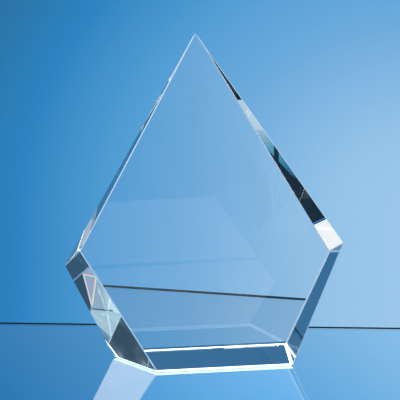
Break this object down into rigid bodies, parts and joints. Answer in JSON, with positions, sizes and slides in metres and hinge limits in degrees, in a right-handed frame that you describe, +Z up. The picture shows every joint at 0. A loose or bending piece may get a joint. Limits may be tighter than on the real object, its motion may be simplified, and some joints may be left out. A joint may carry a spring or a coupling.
{
  "type": "crystal award",
  "caption": "Clear optical-crystal award: a leaning kite-shaped front and an upright back, cut and polished as a solid block on a flat base.",
  "frame": {"origin": "middle of the underside's extent, on the surface the award stands on", "axes": "+Z up, the leaning front faces -Y, the upright back faces +Y, and +X is to the right of someone looking at the front"},
  "size_m": [0.166, 0.0626, 0.1992],
  "materials": {
    "optical_crystal": "polished faces with finely ground edges"
  },
  "bodies": {
    "root": {"crystal_block": "optical_crystal"}
  },
  "joints": []
}
